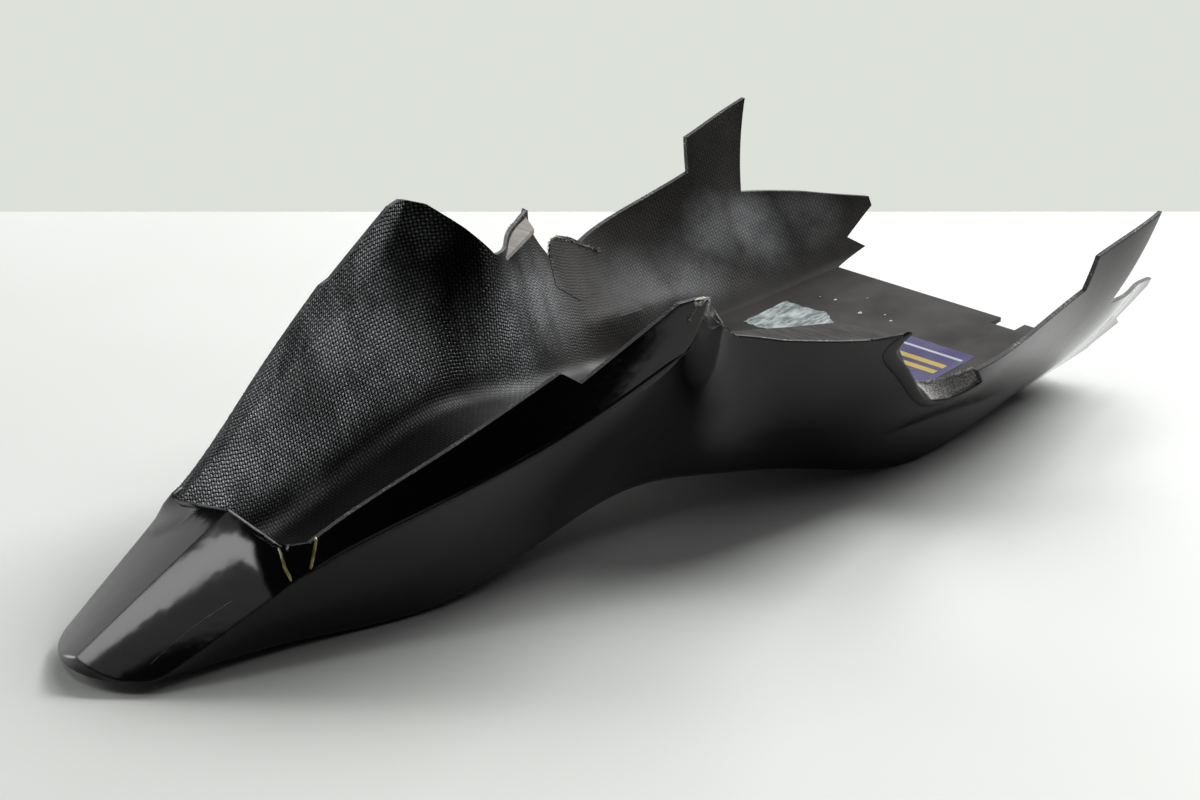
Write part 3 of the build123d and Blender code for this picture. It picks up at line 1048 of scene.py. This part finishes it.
def on_carrier(carrier, points):
    """The nearest points of a piece to the given ones."""
    return [np.array(carrier.closest_point_on_mesh(Vector(p))[1]) for p in points]


SEAM_RADIUS = 0.9
SEAM_POINTS = 24
SEAM_SIDES = 8
SCUFF_RADIUS = 0.22
TAIL_SCUFF = [(24, -33, 12), (50, -36, 25), (76, -42, 36)]
TAIL_SEAM = [(105, -43, 59), (103, -48, 56), (101, -54, 51), (100, -60.5, 45)]
BAND_SEAM = [(122.5, -55.7, 62), (118, -59, 55.5), (113, -61.5, 48)]


def seam(name, route, radius=SEAM_RADIUS, material=resin):
    """A thin line of resin on the shell."""
    path = on_carrier(shell, smooth_line(route, SEAM_POINTS))
    return tube(name, path, radius, material, SEAM_SIDES)


# Broken threads; a ring is its place along the thread and its share of the radius
FRAY_POINTS = 80
THREAD_STRAY = 0.35
THREAD_ALONG = (0.3, 1.0)
THREAD_SCATTER = 0.45
THREAD_LENGTH = (0.35, 1.0)
THREAD_RADIUS = (0.14, 0.30)
THREAD_BEND = 0.2
THREAD_RINGS = ((-0.15, 1.0), (0.5, 0.8))
THREAD_CORNERS = (0, 2.094, 4.189)
THREAD_ACROSS = (0.3, 0.5, 0.8)


def fray(name, carrier, route, count, reach, up=0.5):
    """Broken threads standing out of an edge."""
    path = np.array(on_carrier(carrier, smooth_line(route, FRAY_POINTS)))
    points, faces = [], []
    for _ in range(count):
        i = random.integers(1, len(path) - 1)
        root = path[i] + random.normal(0, THREAD_STRAY, 3)
        along = unit(path[i + 1] - path[i - 1]) * random.choice((-1, 1))
        sloped = along * random.uniform(*THREAD_ALONG) + (0, 0, up)
        lean = unit(sloped + random.normal(0, THREAD_SCATTER, 3))
        length = reach * random.uniform(*THREAD_LENGTH)
        side = unit(np.cross(lean, THREAD_ACROSS))
        over = np.cross(lean, side)
        girth = random.uniform(*THREAD_RADIUS)
        bend = random.normal(0, THREAD_BEND, 3)
        start = len(points)
        for share, width in THREAD_RINGS:
            centre = root + lean * length * share + bend * length * share**2
            for angle in THREAD_CORNERS:
                out = side * math.cos(angle) + over * math.sin(angle)
                points.append(centre + girth * width * out)
        points.append(root + (lean + bend) * length)
        faces.append((start, start + 1, start + 2))
        for a, b in ((0, 1), (1, 2), (2, 0)):
            faces.append((start + a, start + b, start + 3 + b, start + 3 + a))
            faces.append((start + 3 + a, start + 3 + b, start + 6))
    return mesh_object(name, points, faces, [fibre])


CHIP_SWELL = (0.7, 1.1)
CHIP_LUMP = 0.22
CHIP_GRAIN = 0.12


def chip(name, place, size):
    """A lump of broken resin sitting on the shell's edge; size is its half-lengths."""
    middle = on_carrier(shell, [place])[0]
    ball = bmesh.new()
    bmesh.ops.create_icosphere(ball, subdivisions=3, radius=1)
    swell = random.uniform(*CHIP_SWELL)
    wave = random.uniform(0, 6, 3)
    points = []
    for vert in ball.verts:
        co = np.array(vert.co)
        lump = 1 + CHIP_LUMP * math.sin(5 * co[0] + wave[0]) * math.sin(4 * co[1] + wave[1])
        lump += CHIP_GRAIN * math.sin(9 * co[2] + wave[2])
        points.append(middle + co * np.array(size) * swell * lump)
    faces = [[v.index for v in f.verts] for f in ball.faces]
    ball.free()
    return mesh_object(name, points, faces, [fibre])


SHEET_SUNK = 0.5


def on_pan(x, y, rise):
    """A point that rises above the inside of the pan."""
    return (x, y, pan_z(x) + WALL + rise)


def pan_sheet(name, outline, material, rise):
    """A thin sheet stuck to the inside of the pan."""
    ring = len(outline)
    points = [on_pan(x, y, level) for level in (rise, -SHEET_SUNK) for x, y in outline]
    faces = ring_caps(len(points), ring) + ring_sides(2, ring)
    return mesh_object(name, points, faces, [material])


def ragged(outline, step, rough):
    """An outline whose straight edges are broken up."""
    broken = []
    for a, b in zip(outline, outline[1:] + outline[:1]):
        a, b = np.array(a, float), np.array(b, float)
        count = max(1, int(np.linalg.norm(b - a) / step))
        for share in np.arange(count) / count:
            broken.append(a + share * (b - a) + random.normal(0, rough, 2))
    return broken


# Label on the pan: x, y, length and width; then its line and bars, by share of the length
LABEL = (628, -64, 54, 56)
LABEL_RISE = 0.20
LABEL_LINE = 0.78
LINE_WIDE = 2.5
LINE_MARGIN = 3
LABEL_BARS = [(0.50, 0.80), (0.32, 0.55)]
BAR_WIDE = 5
BAR_MARGIN = 6
PRINT_RISE = 0.05
PATCH = [(633, 97), (633, 52), (668, 46), (677, 62), (675, 97)]
PATCH_RISE = 0.15
SPECKS = [(694.5, 82.5), (696.8, 70.8), (690.4, 42.9), (697.9, 27.1), (692.8, 17.5), (655, 30), (712, 55)]
SPECK_RISE = 0.25
SPECK_CORNERS = 7
SPECK_FLAT = 0.7


def pan_trim():
    """The label with its plain bars, the pale patch and the specks."""
    x, y, length, width = LABEL
    print_rise = LABEL_RISE + PRINT_RISE
    field = ragged(rectangle(*LABEL), 6, 0.25)
    pieces = [pan_sheet("label_field", field, label_field, LABEL_RISE)]
    line = rectangle(x + LABEL_LINE * length, y + LINE_MARGIN, LINE_WIDE, width - 2 * LINE_MARGIN)
    pieces.append(pan_sheet("label_line", line, label_line, print_rise))
    for number, (share, reach) in enumerate(LABEL_BARS):
        bar = rectangle(x + share * length, y + BAR_MARGIN, BAR_WIDE, reach * width)
        pieces.append(pan_sheet(f"label_bar_{number}", bar, label_bar, print_rise))
    pieces.append(pan_sheet("pale_patch", ragged(PATCH, 3, 0.7), patch_paint, PATCH_RISE))
    turns = np.arange(SPECK_CORNERS) * math.tau / SPECK_CORNERS
    for number, (sx, sy) in enumerate(SPECKS):
        size = 0.8 + 0.5 * (number % 3)
        fleck = [(sx + size * math.cos(a), sy + SPECK_FLAT * size * math.sin(a)) for a in turns]
        pieces.append(pan_sheet(f"speck_{number}", ragged(fleck, 2, 0.2), fibre, SPECK_RISE))
    return pieces


# Frayed and broken edges
HORN_BREAK = [(488, 160, 107), (476, 153, 108), (466, 149, 108.3), (452, 137, 107)]
PEAK_BREAK = [(341, -125, 147), (347, -126.3, 155.5), (352, -127, 158), (357, -124.5, 151)]
LIP_Y = 162
SILL_FRAY_FROM = 12
WAIST_EDGE = [(366.8, -116.6, 144), (380, -108, 134), (392.8, -103, 125.2), (406.6, -103.2, 113.5)]

notch_sill, sill_edge = sill()
extras += [rim_bead("near"), rim_bead("far"), notch_roll("near"), notch_roll("far"), notch_sill]
extras += [beak_edge("near"), beak_edge("far"), roof_rim()]
extras += [seam("tail_seam", TAIL_SEAM), seam("band_seam", BAND_SEAM)]
extras.append(seam("tail_scuff", TAIL_SCUFF, SCUFF_RADIUS, old_resin))
extras += pan_trim()
extras += [
    fray("fray_lip_far", lip_far, [(x, LIP_Y, z) for x, z in LIP_TOP], 260, 3.0),
    fray("fray_sill", notch_sill, sill_edge[SILL_FRAY_FROM:], 220, 2.0),
    fray("fray_horn", shell, HORN_BREAK, 60, 2.0, 0.1),
    fray("fray_peak", shell, PEAK_BREAK, 120, 3.0, 0.2),
    fray("fray_waist", shell, WAIST_EDGE, 90, 1.4, 0.2),
    chip("peak_chip", (349, -126, 157.5), (5.5, 2.4, 3.2)),
    chip("peak_streak", (354.5, -125.5, 151), (1.8, 1.2, 4.0)),
]

# Into the row's frame

LAY_STATIONS = 159
LAY_POINTS = 60
SHARP_ANGLE = math.radians(18)


def lay_cloth(mesh, points):
    """Stores each point's place along the cowl, round its section and up its wall, for the weave."""
    xs = np.linspace(0, TIP_X, LAY_STATIONS)
    lines = np.array([even(section(v, WALL), LAY_POINTS) for v in rib_at(xs)])
    runs = np.linalg.norm(np.diff(lines, axis=1), axis=2)
    lengths = np.concatenate([np.zeros((len(xs), 1)), np.cumsum(runs, axis=1)], axis=1)
    last = LAY_STATIONS - 1
    station = np.clip(np.rint(points[:, 0] / TIP_X * last).astype(int), 0, last)
    flat = np.column_stack([np.abs(points[:, 1]), points[:, 2]])
    line = lines[station]
    nearest = np.argmin(np.linalg.norm(line - flat[:, None], axis=2), axis=1)
    every = np.arange(len(points))
    before = np.clip(nearest - 1, 0, None)
    after = np.clip(nearest + 1, None, line.shape[1] - 1)
    chord = line[every, after] - line[every, before]
    chord /= np.linalg.norm(chord, axis=1)[:, None]
    past = np.sum((flat - line[every, nearest]) * chord, axis=1)
    turn = lengths[station, nearest] + past
    lay = np.zeros((len(points), 3), np.float32)
    lay[:, 0] = points[:, 0]
    lay[:, 1] = turn * np.sign(points[:, 1])
    floor_half = rib_at(points[:, 0])[:, 1] - WALL
    lay[:, 2] = turn - floor_half
    attribute = mesh.attributes.new("lay", "FLOAT_VECTOR", "POINT")
    attribute.data.foreach_set("vector", lay.ravel())


def settle(obj):
    """Puts a piece drawn in millimetres into the row's frame, inside the CAD model's box."""
    mesh = obj.data
    points = np.empty(3 * len(mesh.vertices), np.float32)
    mesh.vertices.foreach_get("co", points)
    points = points.reshape(-1, 3)
    lay_cloth(mesh, points)
    points = np.clip(to_row(points), LOW, HIGH)
    mesh.vertices.foreach_set("co", points.astype(np.float32).ravel())
    mesh.shade_smooth()
    mesh.set_sharp_from_angle(angle=SHARP_ANGLE)
    mesh.update()
    even_shade = obj.modifiers.new("even_shade", "WEIGHTED_NORMAL")
    even_shade.keep_sharp = True


for piece in [shell, *extras]:
    settle(piece)
    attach(piece, "root")
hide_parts("seat_cowl")

# Floor

VIEW_AZIMUTH = math.radians(-45.2585)
VIEW_ELEVATION = math.radians(21.7408)
TABLE_NEAR = 0.416
TABLE_FAR = 0.51
TABLE_SIDE = 2.5


def make_floor():
    """A plain pale table top."""
    p, where = start_paint("floor")
    cloud = p.span(p.noise(where, 2.2, 3), 0.3, 0.7)
    color = p.blend(cloud, (0.78, 0.80, 0.765, 1), (0.82, 0.84, 0.81, 1))
    return p.finish(Base_Color=color, Roughness=0.5)


forward = Vector((-math.sin(VIEW_AZIMUTH), math.cos(VIEW_AZIMUTH), 0))
aside = Vector((math.cos(VIEW_AZIMUTH), math.sin(VIEW_AZIMUTH), 0))
corners = ((-1, -TABLE_NEAR), (1, -TABLE_NEAR), (1, TABLE_FAR), (-1, TABLE_FAR))
table = [aside * (side * TABLE_SIDE) + forward * away for side, away in corners]
floor = mesh_object("floor", table, [(0, 1, 2, 3)], [make_floor()])

# Camera

CAMERA_AT = Vector((-1.320335, -1.310606, 0.792041))
SENSOR_WIDTH = 36
LENS = 99

camera_data = bpy.data.cameras.new("camera")
camera = bpy.data.objects.new("camera", camera_data)
bpy.context.scene.collection.objects.link(camera)
camera.location = CAMERA_AT
camera.rotation_euler = (math.pi / 2 - VIEW_ELEVATION, 0, VIEW_AZIMUTH)
camera_data.sensor_width = SENSOR_WIDTH
camera_data.lens = LENS
bpy.context.scene.camera = camera

# Light

DOME_LOW = (0.004, 0.004, 0.004, 1)
DOME_TOP = (0.02, 0.021, 0.021, 1)
DOME_RISE = (0.05, 0.85)
BACKDROP = (0.72, 0.75, 0.70, 1)


def make_world():
    """A dim dome that brightens upwards, in front of a plain pale backdrop."""
    world = bpy.data.worlds.new("studio")
    world.use_nodes = True
    nodes = world.node_tree.nodes
    wire = world.node_tree.links.new
    where = nodes.new("ShaderNodeTexCoord")
    height = nodes.new("ShaderNodeSeparateXYZ")
    rise = nodes.new("ShaderNodeMapRange")
    rise.interpolation_type = "SMOOTHSTEP"
    dome = nodes.new("ShaderNodeMix")
    dome.data_type = "RGBA"
    shown = nodes.new("ShaderNodeMix")
    shown.data_type = "RGBA"
    path = nodes.new("ShaderNodeLightPath")
    wire(where.outputs["Generated"], height.inputs[0])
    wire(height.outputs[2], rise.inputs[0])
    rise.inputs[1].default_value, rise.inputs[2].default_value = DOME_RISE
    wire(rise.outputs[0], dome.inputs[0])
    dome.inputs[6].default_value = DOME_LOW
    dome.inputs[7].default_value = DOME_TOP
    wire(path.outputs["Is Camera Ray"], shown.inputs[0])
    wire(dome.outputs[2], shown.inputs[6])
    shown.inputs[7].default_value = BACKDROP
    wire(shown.outputs[2], nodes["Background"].inputs["Color"])
    return world


bpy.context.scene.world = make_world()
bpy.context.scene.view_settings.view_transform = "Standard"

CENTRE = (0, 0, 0)
LAMP_AWAY = 5.0
# Lamps round the cowl: azimuth, elevation, size and power
LAMPS = {
    "key": (2, 30, (2.5, 2.3), 350),
    "back": (36, 34, (2.3, 2.3), 70),
    "low_back": (108, 12, (2.3, 2.3), 120),
    "wall": (74, 10, (2.6, 2.3), 15),
    "fill": (-36, 50, (2.3, 2.3), 20),
    "top": (126, 75, (2.3, 2.3), 8),
}
# A small lamp over the pocket: place, height, size and power
CEILING_LAMP = (-0.68, 0.56)
CEILING = 1.8
CEILING_SIZE = (0.5, 0.3)
CEILING_POWER = 2.2


def softbox(name, at, target, size, power):
    """A rectangular lamp turned towards a target."""
    light = bpy.data.lights.new(name, "AREA")
    light.shape = "RECTANGLE"
    light.size, light.size_y = size
    light.energy = power
    obj = bpy.data.objects.new(name, light)
    obj.location = at
    obj.rotation_euler = (Vector(target) - Vector(at)).to_track_quat("-Z", "Y").to_euler()
    bpy.context.scene.collection.objects.link(obj)


def around(azimuth, elevation, away):
    """A place round the cowl by two angles and a distance."""
    turn, rise = math.radians(azimuth), math.radians(elevation)
    flat = away * math.cos(rise)
    return (flat * math.cos(turn), flat * math.sin(turn), away * math.sin(rise))


for name, (azimuth, elevation, size, power) in LAMPS.items():
    softbox(name, around(azimuth, elevation, LAMP_AWAY), CENTRE, size, power)
softbox("ceiling", (*CEILING_LAMP, CEILING), (*CEILING_LAMP, 0), CEILING_SIZE, CEILING_POWER)
